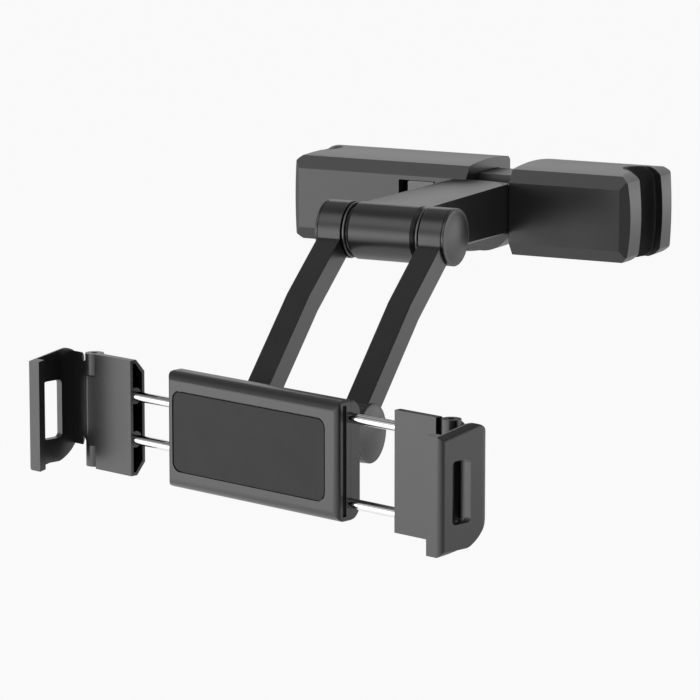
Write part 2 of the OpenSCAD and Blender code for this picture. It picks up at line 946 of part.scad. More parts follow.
// back half of the block: rod cradles, screw posts and the round swivel boss
module rear_shell() {
    color(shell_col)
        in_holder()
            difference() {
                union() {
                    difference() {
                        intersection() {
                            block_form();
                            along_y(rod_depth, block_t)
                                span(-block_w, -block_h, block_w, block_h);
                        }
                        along_y(rod_depth - 1, cavity_d1)
                            round_rect(-cavity_x, -cavity_z, cavity_x, cavity_z, 2);
                    }
                    // half-round cradles that guide the rods
                    for (side = [-1, 1])
                        for (z = rod_heights(side))
                            translate([side * (cavity_x - guide_l / 2), 0, z])
                                along_y(rod_depth, cavity_d1 + 0.5)
                                    span(-guide_l / 2 - 0.2, -sleeve_r,
                                        guide_l / 2 + 0.2, sleeve_r);
                    for (p = shell_bolts())
                        translate([p[0], 0, p[1]])
                            rod_y(bolt_r + 1, rod_depth, cavity_d1 + 0.5);
                    translate([0, 0, holder_drop])
                        rod_y(swivel_boss_r, cavity_d1, flange_d0 + flange_t + 0.2 + retainer_t);
                }
                rod_bores();
                for (p = shell_bolts())
                    translate([p[0], 0, p[1]]) {
                        rod_y(bolt_r, rod_depth - 1, block_t + 1);
                        rod_y(bolt_r * 2, block_t - 1.2, block_t + 1);
                    }
                // stepped seat of the swivel socket and its retainer
                translate([0, 0, holder_drop]) {
                    rod_y(socket_r + part_gap, face_reach - ball_r - socket_wall - 0.3, block_t * 2);
                    rod_y(flange_r + part_gap, flange_d0 - 0.1, block_t * 2);
                    rod_y(retainer_r, flange_d0 + flange_t + 0.2, block_t * 2);
                }
                // blind seat of the pinion's axle
                rod_y(pinion_pin_r, rod_depth, cavity_d1 + 0.5);
            }
}

// rubber pad on the block's face
module grip_pad() {
    color(pad_col)
        in_holder()
            along_y(0.1, grip_t - 0.4)
                round_rect(grip_x - grip_w / 2, -grip_h / 2, grip_x + grip_w / 2, grip_h / 2, 3.5);
}

// ring that holds the swivel socket's flange in the rear shell
module swivel_retainer() {
    d0 = flange_d0 + flange_t + 0.2;
    color(dark_col)
        about_swivel()
            span(socket_r + part_gap, d0, retainer_r, d0 + retainer_t);
}

module shell_screws() {
    color(steel_col)
        in_holder()
            for (p = shell_bolts())
                translate([p[0], 0, p[1]]) {
                    rod_y(bolt_r, cavity_d0 + 0.4, block_t - 1.2 + eps);
                    rod_y(bolt_r * 2 - 0.1, block_t - 1.2, block_t - 0.2);
                }
}

// rack and pinion

// gear outline with straight-flanked teeth
module gear_outline(teeth, pitch_r, m) {
    tip = pitch_r + m - 0.1;
    root = pitch_r - 1.2 * m;
    step = 360 / teeth;
    points = [for (i = [0 : teeth - 1]) for (c = [
        [root, -0.30], [pitch_r, -0.235], [tip, -0.11],
        [tip, 0.11], [pitch_r, 0.235], [root, 0.30]])
        [c[0] * cos((i + c[1]) * step), c[0] * sin((i + c[1]) * step)]];
    polygon(points);
}

// rack outline along x with its pitch line at z = 0 and its back at z = back
module rack_outline(x0, x1, back, m, phase) {
    pitch = PI * m;
    n0 = ceil(x0 / pitch - phase + 0.3);
    n1 = floor(x1 / pitch - phase - 0.3);
    teeth = [for (i = [n0 : n1]) for (c = [[-0.32, 1.2], [-0.235, 0], [-0.12, -0.85],
        [0.12, -0.85], [0.235, 0], [0.32, 1.2]])
        [(i + phase + c[0]) * pitch, c[1] * m]];
    polygon(concat([[x0, back], [x0, 1.2 * m]], teeth, [[x1, 1.2 * m], [x1, back]]));
}

module pinion_axle() {
    color(steel_col)
        in_holder()
            rod_y(pinion_pin_r, cavity_d0 - 1, cavity_d1 + 0.5);
}

module drive_pinion() {
    color(dark_col)
        in_holder()
            along_y(rack_d0 + 0.1, rack_d1 - 0.1)
                difference() {
                    rotate(90)
                        gear_outline(pinion_teeth, pinion_r, module_size);
                    circle(pinion_pin_r + run_clear);
                }
}

// flat spiral spring behind the pinion
module return_spring() {
    turns = 3.5;
    r0 = 1.9;
    r1 = 4.9;
    strip = 0.25;
    steps = 84;
    inner = [for (i = [0 : steps]) let (a = i * turns * 360 / steps, r = r0 + (r1 - r0) * i / steps)
        [r * cos(a), r * sin(a)]];
    outer = [for (i = [steps : -1 : 0]) let (a = i * turns * 360 / steps,
        r = r0 + (r1 - r0) * i / steps + strip)
        [r * cos(a), r * sin(a)]];
    color(steel_col)
        in_holder()
            along_y(rack_d1 + 0.3, cavity_d1 - 0.2)
                polygon(concat(inner, outer));
}

// rack bar, arm and open clip of one jaw, drawn for the right jaw's rod at height z_rod
module jaw_rack(z_rod) {
    x0 = -rod_inner_end;
    x1 = jaw_in + 3;
    difference() {
        union() {
            along_y(rack_d0, rack_d1)
                translate([0, pinion_r])
                    rack_outline(x0, x1, rack_back - pinion_r, module_size, 0.5);
            // flat arm to the clip
            along_y(rack_d0, rack_d0 + rack_arm_t)
                span(x0, rack_back - 1, x0 + sleeve_l, z_rod);
            along_y(rack_d0, rod_depth + 1.2)
                span(x0, z_rod - sleeve_r, x0 + sleeve_l, z_rod + sleeve_r);
        }
        translate([x0 - 1, rod_depth, z_rod])
            rod_x(rod_r, 0, sleeve_l + 2);
    }
}

module right_rack() {
    color(dark_col)
        in_holder()
            jaw_rack(rod_outer);
}

module left_rack() {
    color(dark_col)
        in_holder()
            rotate([0, 180, 0])
                jaw_rack(rod_inner);
}

// polished guide rod from inside the block into a jaw block; side is -1 or 1
module guide_rod(side, z)
    color(steel_col)
        in_holder()
            translate([0, rod_depth, z])
                rod_x(rod_r, side > 0 ? -rod_inner_end : -jaw_x0 - rod_grip,
                    side > 0 ? jaw_x0 + rod_grip : rod_inner_end);

module left_upper_rod()
    guide_rod(-1, rod_inner);

module left_lower_rod()
    guide_rod(-1, -rod_inner);

module right_upper_rod()
    guide_rod(1, rod_outer);

module right_lower_rod()
    guide_rod(1, -rod_outer);

// jaws

barrel_h = 28.2;
hook_pin_r = 1.25;

// side outline of a jaw block with its rear corners cut off, in (depth, z)
module jaw_section(inset) {
    h = block_h / 2 - inset;
    d0 = jaw_depth + inset;
    d1 = jaw_depth + jaw_t - inset;
    cut_d = 4.4 - inset * 0.6;
    cut_h = 5 - inset * 0.4;
    polygon([
        [d0, -h],
        [d0, h],
        [d1 - cut_d, h],
        [d1, h - cut_h],
        [d1, -h + cut_h],
        [d1 - cut_d, -h]]);
}

// hollow moulded jaw block drawn for the right side, with bosses for rods at +-z_rod
module jaw_block(z_rod) {
    skin = 1.3;
    x1 = jaw_x0 + jaw_w;
    difference() {
        union() {
            difference() {
                along_x(jaw_x0, x1)
                    jaw_section(0);
                along_x(jaw_x0 - 1, x1 - 2)
                    jaw_section(skin);
            }
            // bosses that grip the rods
            for (z = [-1, 1])
                intersection() {
                    translate([0, rod_depth, z * z_rod])
                        rod_x(rod_r + 1.3, jaw_x0 + 0.4, x1 - 1);
                    along_x(jaw_x0, x1)
                        jaw_section(0.2);
                }
            // webs that tie each boss to both walls
            for (z = [-1, 1])
                along_x(jaw_x0 + 0.8, x1 - 1)
                    span(jaw_depth + 0.5, z * z_rod - 0.8,
                        jaw_depth + jaw_t - 0.5, z * z_rod + 0.8);
            // hinge barrel between the hook's knuckles
            translate([hook_x, hook_axis_depth, 0])
                cylinder(r = jaw_t / 2, h = barrel_h, center = true);
            along_z(-barrel_h / 2, barrel_h / 2)
                span(x1 - 2.2, jaw_depth, hook_x, jaw_depth + jaw_t);
        }
        for (z = [-1, 1])
            translate([0, rod_depth, z * z_rod])
                rod_x(rod_r, jaw_x0 - 1, jaw_x0 + rod_grip);
        translate([hook_x, hook_axis_depth, 0])
            cylinder(r = hook_pin_r + run_clear, h = block_h + 2, center = true);
    }
}

module right_jaw_block()
    color(shell_col)
        in_holder()
            jaw_block(rod_outer);

module left_jaw_block()
    color(shell_col)
        in_holder()
            mirror([1, 0, 0])
                jaw_block(rod_inner);

// hooks

hook_front = hook_axis_depth + jaw_t / 2 - hook_depth;
hook_back = hook_axis_depth + jaw_t / 2;
hook_outer = hook_x + hook_out;
hook_web = 3.2;
hook_rear_r = 4;
hook_top_r = 8;
hook_low_r = 17;
hook_low_z = hook_low_r + 0.9 - hook_h / 2;
lip_drop = 2.8;
lip_slope_d = hook_depth * 0.62;
slot_rear = 6.1;
slot_depth = hook_front + slot_rear;

// side outline of a hook, in (depth, z): lower lip edge and round rear corners
module hook_side() {
    h = hook_h / 2;
    low_rise = 1.7;
    low_run = 9;
    difference() {
        intersection() {
            polygon([
                [hook_front, -h],
                [hook_front, h - lip_drop],
                [hook_front + lip_slope_d, h],
                [hook_back, h],
                [hook_back, -h + low_rise],
                [hook_front + low_run, -h + low_rise]]);
            union() {
                span(hook_front, -h, hook_back - hook_low_r, h);
                span(hook_back - hook_low_r, hook_low_z, hook_back, h - hook_top_r);
                span(hook_back - hook_low_r, 0, hook_back - hook_top_r, h);
                translate([hook_back - hook_top_r, h - hook_top_r])
                    circle(hook_top_r);
                translate([hook_back - hook_low_r, hook_low_z])
                    circle(hook_low_r);
            }
        }
        round_rect(slot_depth, -slot_h / 2 - 0.5, slot_depth + slot_w, slot_h / 2 - 0.5, 1.8);
    }
}

// plan of a hook: outer wall and front lip, in (x, depth)
module hook_plan() {
    fillet = 2.4;
    wall_end = hook_back - hook_rear_r;
    difference() {
        union() {
            span(hook_outer - hook_wall, hook_front + fillet, hook_outer, wall_end);
            span(hook_outer - lip_w, hook_front, hook_outer - fillet, hook_front + hook_wall);
            translate([hook_outer - fillet, hook_front + fillet])
                circle(fillet);
            translate([hook_outer - hook_rear_r, wall_end])
                circle(hook_rear_r);
        }
        // the wall stays hollow behind its inner face
        span(hook_x - 1, hook_front + hook_wall, hook_outer - hook_wall, hook_back - hook_web);
    }
}

// front outline that rounds a hook's outer corner, in (x, z), with its top at z = 0;
// both flats lie a little outside the hook
module hook_corner(drop) {
    r = 4;
    skim = 0.3;
    edge = hook_outer + skim;
    span(hook_x - hook_out, -drop, edge - r, skim);
    span(hook_x - hook_out, -drop, edge, skim - r);
    translate([edge - r, skim - r])
        circle(r);
}

// space inside the rounded top and bottom corners; the top one follows the lip's slope
module hook_corners() {
    h = hook_h / 2;
    intersection() {
        translate([0, hook_front, h - lip_drop])
            rotate([atan(lip_drop / lip_slope_d), 0, 0])
                along_y(-hook_depth, 2 * hook_depth)
                    hook_corner(2 * hook_h);
        translate([0, 0, -h])
            mirror([0, 0, 1])
                along_y(hook_front - 1, hook_back + 1)
                    hook_corner(2 * hook_h);
    }
}

// one foldable hook drawn for the right side
module hook() {
    knuckle_r = jaw_t / 2;
    knuckle_top = block_h / 2 - 0.4;
    difference() {
        union() {
            intersection() {
                along_z(-hook_h / 2, hook_h / 2)
                    hook_plan();
                along_x(hook_x, hook_outer + 1)
                    hook_side();
                hook_corners();
            }
            // rear web from the hinge out to the wall
            along_y(hook_back - hook_web, hook_back)
                polygon([
                    [hook_x, -knuckle_top],
                    [hook_x, knuckle_top],
                    [hook_outer - hook_rear_r, hook_h / 2 - hook_top_r],
                    [hook_outer - hook_rear_r, hook_low_z]]);
            for (z = [-1, 1])
                translate([hook_x, hook_axis_depth, z > 0 ? barrel_h / 2 + part_gap : -knuckle_top])
                    cylinder(r = knuckle_r, h = knuckle_top - barrel_h / 2 - part_gap);
        }
        // relief round the jaw's barrel
        translate([hook_x, hook_axis_depth, 0])
            cylinder(r = knuckle_r + part_gap, h = barrel_h + 2 * part_gap, center = true);
        translate([hook_x, hook_axis_depth, 0])
            cylinder(r = hook_pin_r, h = block_h, center = true);
    }
}

module right_hook()
    color(shell_col)
        in_holder()
            hook();

module left_hook()
    color(shell_col)
        in_holder()
            mirror([1, 0, 0])
                hook();

// steel pin of a hook hinge
module hook_pin(side)
    color(steel_col)
        in_holder()
            translate([side * hook_x, hook_axis_depth, 0])
                cylinder(r = hook_pin_r, h = block_h - 3, center = true);

module left_hook_pin()
    hook_pin(-1);

module right_hook_pin()
    hook_pin(1);

left_housing();
left_back_cover();
left_post_pad();
left_clamp_screws();
extension_arm();
arm_screws();
lock_slider();
right_housing();
right_back_cover();
right_post_pad();
right_clamp_screws();
telescoping_rail();
rail_pins();
left_link_arm();
right_link_arm();
upper_axle();
lower_axle();
upper_left_cap();
upper_right_cap();
lower_left_cap();
lower_right_cap();
upper_left_washer();
upper_right_washer();
lower_left_washer();
lower_right_washer();
ball_knuckle();
swivel_socket();
front_shell();
rear_shell();
grip_pad();
swivel_retainer();
shell_screws();
pinion_axle();
return_spring();
drive_pinion();
left_jaw_block();
left_upper_rod();
left_lower_rod();
left_rack();
right_jaw_block();
right_upper_rod();
right_lower_rod();
right_rack();
left_hook();
left_hook_pin();
right_hook();
right_hook_pin();
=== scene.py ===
"""Dresses a headrest tablet mount: softened edges, procedural finishes and a studio."""
import json
import math

import bmesh
import bpy
import numpy as np
from mathutils import Matrix, Vector


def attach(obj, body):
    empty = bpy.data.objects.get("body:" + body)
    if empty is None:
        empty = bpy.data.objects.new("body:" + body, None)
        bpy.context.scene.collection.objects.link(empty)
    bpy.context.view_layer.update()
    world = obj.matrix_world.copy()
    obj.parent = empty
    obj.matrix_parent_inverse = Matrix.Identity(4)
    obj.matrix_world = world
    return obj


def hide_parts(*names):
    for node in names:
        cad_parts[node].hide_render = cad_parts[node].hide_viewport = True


bl_info = {
    "name": "Headrest Tablet Mount",
    "version": (1, 0, 0),
    "blender": (4, 5, 0),
    "location": "3D View > Sidebar > Tablet Mount",
    "description": "Dresses the mount's mouldings, metal parts and pads, and builds its studio",
    "category": "Object",
}

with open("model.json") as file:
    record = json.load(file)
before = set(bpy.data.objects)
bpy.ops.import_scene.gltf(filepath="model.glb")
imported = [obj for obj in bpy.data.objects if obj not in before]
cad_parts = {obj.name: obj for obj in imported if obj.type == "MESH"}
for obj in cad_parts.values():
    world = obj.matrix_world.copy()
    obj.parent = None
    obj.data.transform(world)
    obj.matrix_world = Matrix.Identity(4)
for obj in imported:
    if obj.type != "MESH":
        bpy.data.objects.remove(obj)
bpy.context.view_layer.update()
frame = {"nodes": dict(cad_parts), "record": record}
NODES = frame["nodes"]
BODY_OF = {node: body for body, nodes in frame["record"]["behaviour"]["bodies"].items()
           for node in nodes}

# ---- looks
WHITE = (0.975, 0.975, 0.975, 1.0)
BLACK = (0.0, 0.0, 0.0, 1.0)
# brightness of the studio's lit parts in reflections, against the white of the background
REFLECTED = 4.2
# shares of REFLECTED: the front, the ceiling, and the darkest parts of the walls and the floor
FRONT = 0.88
CEILING = 0.46
WALL_BASE = 0.06
FLOOR_BASE = 0.12
# brightness of the studio as a source of soft light
AMBIENT = 0.10
# share of the floor's look that is plain white to the eye; the rest takes shadow
FLOOR_GLOW = 0.97
# mirror strength of the plastics, where 0.5 is that of an ordinary one
SHELL_SHINE = 0.5
TRIM_SHINE = 0.95
# size of the spark-eroded grain of the mouldings, in metres
GRAIN = 0.00035

# ---- edges
MERGE = 2e-6                    # points nearer than this, in metres, are one
FLAT = math.radians(0.4)        # facets that turn by less are joined
SHARP = math.radians(24.0)      # edges that turn by more are rolled over
CREASE = math.radians(40.0)     # edges that turn by more shade as creases
FLAT_WEIGHT = 80                # how far large faces pull the normals beside them
ARM_STRIPS = 4                  # strips in a roll of the arm's long edges

# ---- studio, in metres and watts
MIDDLE = Vector((0.0842, -0.090, -0.020))
PICTURE_LEFT = 0.02068          # how far the picture's centre lies left of the middle
PICTURE_DOWN = 0.02876          # and below it
SENSOR = 36.0                   # width of the camera's sensor, in millimetres
CLIP = (0.05, 60.0)             # nearest and furthest that the camera sees
LIGHT_AIM = (0.08, -0.11, -0.03)
LIGHTS = (
    {"name": "key", "place": (-1.2, -1.4, 0.1), "width": 1.0, "height": 0.8, "power": 25.0},
    {"name": "top", "place": (-0.3, -0.3, 1.6), "width": 1.4, "height": 1.4, "power": 8.0},
)
FLOOR_HALF = 12.0
FLOOR_POINTS = 9
FLOOR_COLOUR = (0.55, 0.55, 0.55)


def opaque(colour, share=1.0, lift=0.0):
    """A colour with full alpha, scaled by share and raised by lift."""
    return [part * share + lift for part in colour[:3]] + [1.0]


def put_in_scene(name, data):
    """New object in the scene's collection."""
    obj = bpy.data.objects.new(name, data)
    bpy.context.scene.collection.objects.link(obj)
    return obj


# ---------------------------------------------------------------- shader sums

class Field:
    """A shader socket used in Python sums: each operator adds the Math node it stands for."""

    def __init__(self, graph, socket):
        self.graph = graph
        self.socket = socket

    def _sum(self, operation, *values, **settings):
        return self.graph.node("ShaderNodeMath", dict(settings, operation=operation),
                               dict(enumerate(values)))

    def __add__(self, other):
        return self._sum("ADD", self, other)

    __radd__ = __add__

    def __sub__(self, other):
        return self._sum("SUBTRACT", self, other)

    def __rsub__(self, other):
        return self._sum("SUBTRACT", other, self)

    def __mul__(self, other):
        return self._sum("MULTIPLY", self, other)

    def size(self):
        """The value without its sign."""
        return self._sum("ABSOLUTE", self)

    def clipped(self):
        """The value held between 0 and 1."""
        return self._sum("ADD", self, 0.0, use_clamp=True)

    def ramp(self, low, high):
        """0 below low, 1 above high, and an even slope between them."""
        return ((self - low) * (1.0 / (high - low))).clipped()

    def fade(self, low, high):
        """1 below low, 0 above high, and an even slope between them."""
        return 1.0 - self.ramp(low, high)

    def band(self, rise, fall):
        """1 between two slopes, each given as (low, high), and 0 outside them."""
        return self.ramp(*rise) * self.fade(*fall)

    def swing(self, share, middle=0.5):
        """How far the value stands from its middle, times share."""
        return (self - middle) * share


class Graph:
    """A node tree that fields are added to."""

    def __init__(self, tree, output):
        self.tree = tree
        self.tree.nodes.clear()
        self.output = self.tree.nodes.new(output)

    def node(self, kind, settings=None, inputs=None, out=0):
        """Adds a node: its settings first, then its sockets' values or links."""
        made = self.tree.nodes.new(kind)
        for key, value in (settings or {}).items():
            setattr(made, key, value)
        for key, value in (inputs or {}).items():
            if isinstance(value, Field):
                self.tree.links.new(value.socket, made.inputs[key])
            else:
                made.inputs[key].default_value = value
        return Field(self, made.outputs[out])

    def axes(self, way):
        """The x, y and z of a vector."""
        return [self.node("ShaderNodeSeparateXYZ", inputs={"Vector": way}, out=axis)
                for axis in "XYZ"]

    def tint(self, mask, low, high):
        """Colour low where the mask is 0 and high where it is 1."""
        return self.node("ShaderNodeMix", {"data_type": "RGBA"},
                         {0: mask, 6: low, 7: high}, out=2)

    def show(self, shader):
        """Sends a shader to the output."""
        self.tree.links.new(shader.socket, self.output.inputs["Surface"])

    def ray(self, *kinds):
        """1 for rays of the kinds named, and 0 for all others."""
        hits = [self.node("ShaderNodeLightPath", out="Is " + kind + " Ray") for kind in kinds]
        return sum(hits[1:], hits[0]).clipped()

    def mix(self, mask, low, high):
        """Shader low where the mask is 0 and high where it is 1."""
        return self.node("ShaderNodeMixShader", inputs={0: mask, 1: low, 2: high})


class Finish(Graph):
    """One procedural material: a Principled shader and what feeds it."""

    def __init__(self, name, **constants):
        self.material = bpy.data.materials.new(name)
        self.material.use_nodes = True
        super().__init__(self.material.node_tree, "ShaderNodeOutputMaterial")
        self.shader = self.tree.nodes.new("ShaderNodeBsdfPrincipled")
        self.surface = Field(self, self.shader.outputs[0])
        self.show(self.surface)
        for socket, value in constants.items():
            self.shader.inputs[socket.replace("_", " ")].default_value = value

    def place(self):
        """Object coordinates in metres."""
        return self.node("ShaderNodeTexCoord", out="Object")

    def noise(self, size, detail, rough, where=None):
        """Noise between 0 and 1 with blotches about size metres across."""
        return self.node("ShaderNodeTexNoise", {"noise_dimensions": "3D"},
                         {"Vector": where or self.place(), "Scale": 1.0 / size,
                          "Detail": detail, "Roughness": rough})

    def feed(self, **links):
        """Links fields to the Principled shader's sockets."""
        for socket, field in links.items():
            self.tree.links.new(field.socket, self.shader.inputs[socket.replace("_", " ")])
        return self

    def bump(self, height, distance, strength):
        """Normal from a height field that is distance metres deep."""
        return self.feed(Normal=self.node("ShaderNodeBump", inputs={
            "Strength": strength, "Distance": distance, "Height": height}))


def brightness(base, *changes):
    """base, changed for each (axis, low, high, change) as the axis goes from low to high."""
    for axis, low, high, change in changes:
        base = axis.ramp(low, high) * change + base
    return base


# ------------------------------------------------------------------- finishes

def moulded(name, colour, roughness, shine=SHELL_SHINE):
    """Moulded plastic: a spark-eroded grain, a faint uneven gloss, and edges painted lighter,
    part as wear and part as a painted highlight.
    """
    finish = Finish(name, Specular_IOR_Level=shine)
    flow = finish.noise(size=0.018, detail=3.0, rough=0.55)
    fine = finish.noise(size=GRAIN, detail=2.0, rough=0.6)
    pores = finish.noise(size=GRAIN * 2.3, detail=1.0, rough=0.5).ramp(0.42, 0.62)
    # mask of the rounded edges: their lighter colour is part wear and part a painted highlight
    # along the edges
    rub_and_edge_highlight = finish.node("ShaderNodeAttribute", {"attribute_name": "rub_and_edge_highlight"}, out="Fac")
    worn_and_highlit = (rub_and_edge_highlight * finish.noise(size=0.0016, detail=3.0, rough=0.7).ramp(0.3, 0.75)).clipped()
    body = finish.tint(flow.ramp(0.3, 0.7), opaque(colour), opaque(colour, share=1.12))
    # lighter edge colour: bare plastic from wear, and a painted highlight
    bare_and_highlit = opaque(colour, share=1.35, lift=0.004)
    finish.feed(Base_Color=finish.tint(worn_and_highlit * 0.6, body, bare_and_highlit),
                Roughness=roughness + flow.swing(0.05) + fine.swing(0.06) - worn_and_highlit * 0.08)
    return finish.bump(fine * 0.6 + pores * 0.4, distance=0.000012, strength=0.55).material


def rubbered(name, colour, roughness=0.62):
    """Soft rubber: an even, dry face with a very fine tooth and dusty blotches."""
    finish = Finish(name, Specular_IOR_Level=0.25)
    dust = finish.noise(size=0.009, detail=4.0, rough=0.6).ramp(0.35, 0.8)
    tooth = finish.noise(size=0.00022, detail=2.0, rough=0.65)
    finish.feed(Base_Color=finish.tint(dust, opaque(colour), opaque(colour, share=1.2)),
                Roughness=roughness + dust.swing(0.08) + tooth.swing(0.1))
    return finish.bump(tooth, distance=0.00001, strength=0.6).material


def polished(name, colour, roughness=0.06):
    """Bright plated steel with the faint lengthwise lines of its polish."""
    finish = Finish(name, Metallic=1.0)
    place = finish.place()
    lines = finish.node("ShaderNodeMapping", inputs={
        "Vector": place, "Scale": (40.0, 40.0, 2600.0)})
    streak = finish.node("ShaderNodeTexNoise", inputs={
        "Vector": lines, "Scale": 1.0, "Detail": 2.0})
    haze = finish.noise(size=0.012, detail=2.0, rough=0.5, where=place)
    finish.feed(Base_Color=finish.tint(haze, opaque(colour), opaque(colour, share=0.96)),
                Roughness=roughness + haze.swing(0.03) + streak.swing(0.03))
    return finish.bump(streak, distance=0.000002, strength=0.3).material


def plated(name, colour, roughness):
    """Zinc-plated steel: a soft crystalline mottle and small scuffs."""
    finish = Finish(name, Metallic=1.0)
    mottle = finish.node("ShaderNodeTexVoronoi", {"feature": "F1"},
                         {"Vector": finish.place(), "Scale": 1800.0})
    scuff = finish.noise(size=0.0012, detail=4.0, rough=0.7)
    finish.feed(
        Base_Color=finish.tint(
            scuff.ramp(0.3, 0.7), opaque(colour, share=0.85), opaque(colour)),
        Roughness=roughness + scuff.swing(0.16) + mottle.swing(0.05, middle=0.4))
    return finish.bump(scuff, distance=0.000008, strength=0.4).material


def flooring(name, colour):
    """Pale studio floor. The eye sees it near white and with a soft shadow. Reflections see it
    bright in front of the mount, less so to the right, and dim behind it."""
    finish = Finish(name, Roughness=0.9, Specular_IOR_Level=0.1)
    grain = finish.noise(size=0.004, detail=2.0, rough=0.5)
    finish.feed(Base_Color=finish.tint(grain, opaque(colour), opaque(colour, share=0.995)))
    east, north, _ = finish.axes(finish.place())
    front = north.fade(-0.7, 0.3) * brightness(
        FRONT, (north, -1.4, -0.8, -0.22), (east, -0.6, 0.1, -0.34), (east, 0.4, 1.1, -0.32))
    right = north.ramp(-0.5, 0.2) * brightness(
        0.0, (east, -0.4, 0.4, 0.10), (east, 0.8, 1.5, 0.42))
    lit = right + FLOOR_BASE + front
    plain = finish.node("ShaderNodeEmission", inputs={"Color": WHITE, "Strength": 1.0})
    mirrored = finish.node("ShaderNodeEmission", inputs={
        "Color": finish.tint(lit, BLACK, WHITE), "Strength": REFLECTED})
    glow = finish.mix(finish.ray("Glossy"), plain, mirrored)
    seen = finish.ray("Camera", "Glossy", "Transmission") * FLOOR_GLOW
    finish.show(finish.mix(seen, finish.surface, glow))
    return finish.material


# ------------------------------------------------------------------- geometry

def slot_of(node):
    """The record's material slot of a CAD node."""
    return next(s["material_slot"] for s in frame["record"]["subparts"] if s["node"] == node)


def dress(data, material):
    """Gives a mesh one finish."""
    data.materials.clear()
    data.materials.append(material)


def softened(node, material, radius, strips=2):
    """Stands for a CAD solid with its edges rolled over.

    The solid's points are merged and its flat facets joined, every edge that turns by more than
    SHARP is rounded to radius, and the rounded strips carry the edge mask, which the finishes
    paint lighter, part as wear and part as a painted highlight.
    """
    shape = bmesh.new()
    shape.from_mesh(NODES[node].data)
    bmesh.ops.remove_doubles(shape, verts=shape.verts, dist=MERGE)
    bmesh.ops.dissolve_limit(shape, angle_limit=FLAT, verts=shape.verts,
                             edges=shape.edges, use_dissolve_boundaries=False)
    sharp = [e for e in shape.edges if e.is_manifold and e.calc_face_angle(0.0) > SHARP]
    # mask of the rounded strips, which the finishes paint lighter: part wear, part painted
    # highlight
    rub_and_edge_highlight = shape.faces.layers.float.new("rub_and_edge_highlight")
    rolled = bmesh.ops.bevel(shape, geom=sharp, offset=radius, offset_type="OFFSET",
                             segments=strips, profile=0.5, affect="EDGES",
                             clamp_overlap=True, harden_normals=False)
    for face in rolled["faces"]:
        face[rub_and_edge_highlight] = 1.0
    for face in shape.faces:
        face.smooth = True
    mesh = bpy.data.meshes.new(node + "_soft")
    shape.to_mesh(mesh)
    shape.free()
    mesh.set_sharp_from_angle(angle=CREASE)
    piece = put_in_scene(node + "_soft", mesh)
    weigh_normals(piece)
    dress(mesh, material)
    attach(piece, BODY_OF[node])
    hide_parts(node)


def weigh_normals(piece):
    """Leans the corner normals towards the large faces, so that flats stay flat by a roll."""
    weights = piece.modifiers.new("flat faces", "WEIGHTED_NORMAL")
    weights.keep_sharp = True
    weights.weight = FLAT_WEIGHT


def grid_mesh(name, points):
    """Mesh of a grid of points (rows, columns, 3): each cell is a quad between neighbours."""
    rows, columns = points.shape[:2]
    index = np.arange(rows * columns).reshape(rows, columns)
    quads = np.stack([index[:-1, :-1], index[1:, :-1], index[1:, 1:], index[:-1, 1:]], axis=-1)
    quads = quads.reshape(-1, 4)
    mesh = bpy.data.meshes.new(name)
    mesh.vertices.add(rows * columns)
    mesh.vertices.foreach_set("co", points.reshape(-1).astype(np.float32))
    mesh.loops.add(quads.size)
    mesh.loops.foreach_set("vertex_index", quads.reshape(-1).astype(np.int32))
    mesh.polygons.add(len(quads))
    mesh.polygons.foreach_set("loop_start", np.arange(0, quads.size, 4, dtype=np.int32))
    mesh.update(calc_edges=True)
    return mesh


# ---------------------------------------------------------------- user values

def colour_value(name, description, default):
    """A colour that the panel shows."""
    return bpy.props.FloatVectorProperty(
        name=name, description=description, subtype="COLOR", size=3, min=0.0, max=1.0,
        default=default)


def length_value(name, description, low, high, default):
    """A length in metres that the panel shows."""
    return bpy.props.FloatProperty(
        name=name, description=description, subtype="DISTANCE", unit="LENGTH",
        min=low, max=high, default=default)


class MountFinish(bpy.types.PropertyGroup):
    """Colours and gloss of the mount."""
    shell: colour_value("Shell colour", "Colour of the satin mouldings",
                        (0.014, 0.014, 0.0145))
    trim: colour_value("Trim colour", "Colour of the rail, slider and washers",
                       (0.020, 0.020, 0.021))
    pad: colour_value("Pad colour", "Colour of the rubber faces",
                      (0.020, 0.020, 0.0205))
    rod: colour_value("Rod colour", "Colour of the polished rods",
                      (0.62, 0.62, 0.63))
    steel: colour_value("Steel colour", "Colour of screws, pins and axles",
                        (0.55, 0.55, 0.56))
    gloss: bpy.props.FloatProperty(
        name="Shell roughness", description="Roughness of the satin mouldings",
        subtype="FACTOR", min=0.05, max=1.0, default=0.30)


class MountDetail(bpy.types.PropertyGroup):
    """Edge radii of the mount."""
    edge: length_value("Moulded edge", "Radius of the mouldings' outer edges",
                       0.0, 0.002, 0.0005)
    arm_edge: length_value("Arm edge", "Radius of the arm's long edges",
                           0.0, 0.002, 0.0010)
    fine_edge: length_value("Small edge", "Radius of the edges of small pieces",
                            0.0, 0.001, 0.00025)


class MountStudio(bpy.types.PropertyGroup):
    """Camera and floor."""
    distance: length_value("Camera distance", "From the camera to the mount",
                           0.3, 5.0, 1.660)
    turn: bpy.props.FloatProperty(
        name="Camera turn", description="How far right of the mount's front the camera stands",
        subtype="ANGLE", default=math.radians(27.85))
    rise: bpy.props.FloatProperty(
        name="Camera rise", description="Angle at which the camera looks down",
        subtype="ANGLE", default=math.radians(10.13))
    lens: bpy.props.FloatProperty(
        name="Lens", description="Focal length", subtype="DISTANCE_CAMERA",
        min=20.0, max=400.0, default=209.31)
    floor_drop: length_value("Floor height", "Height of the floor under the clamp",
                             -2.0, -0.12, -0.30)


FINISHES = {}


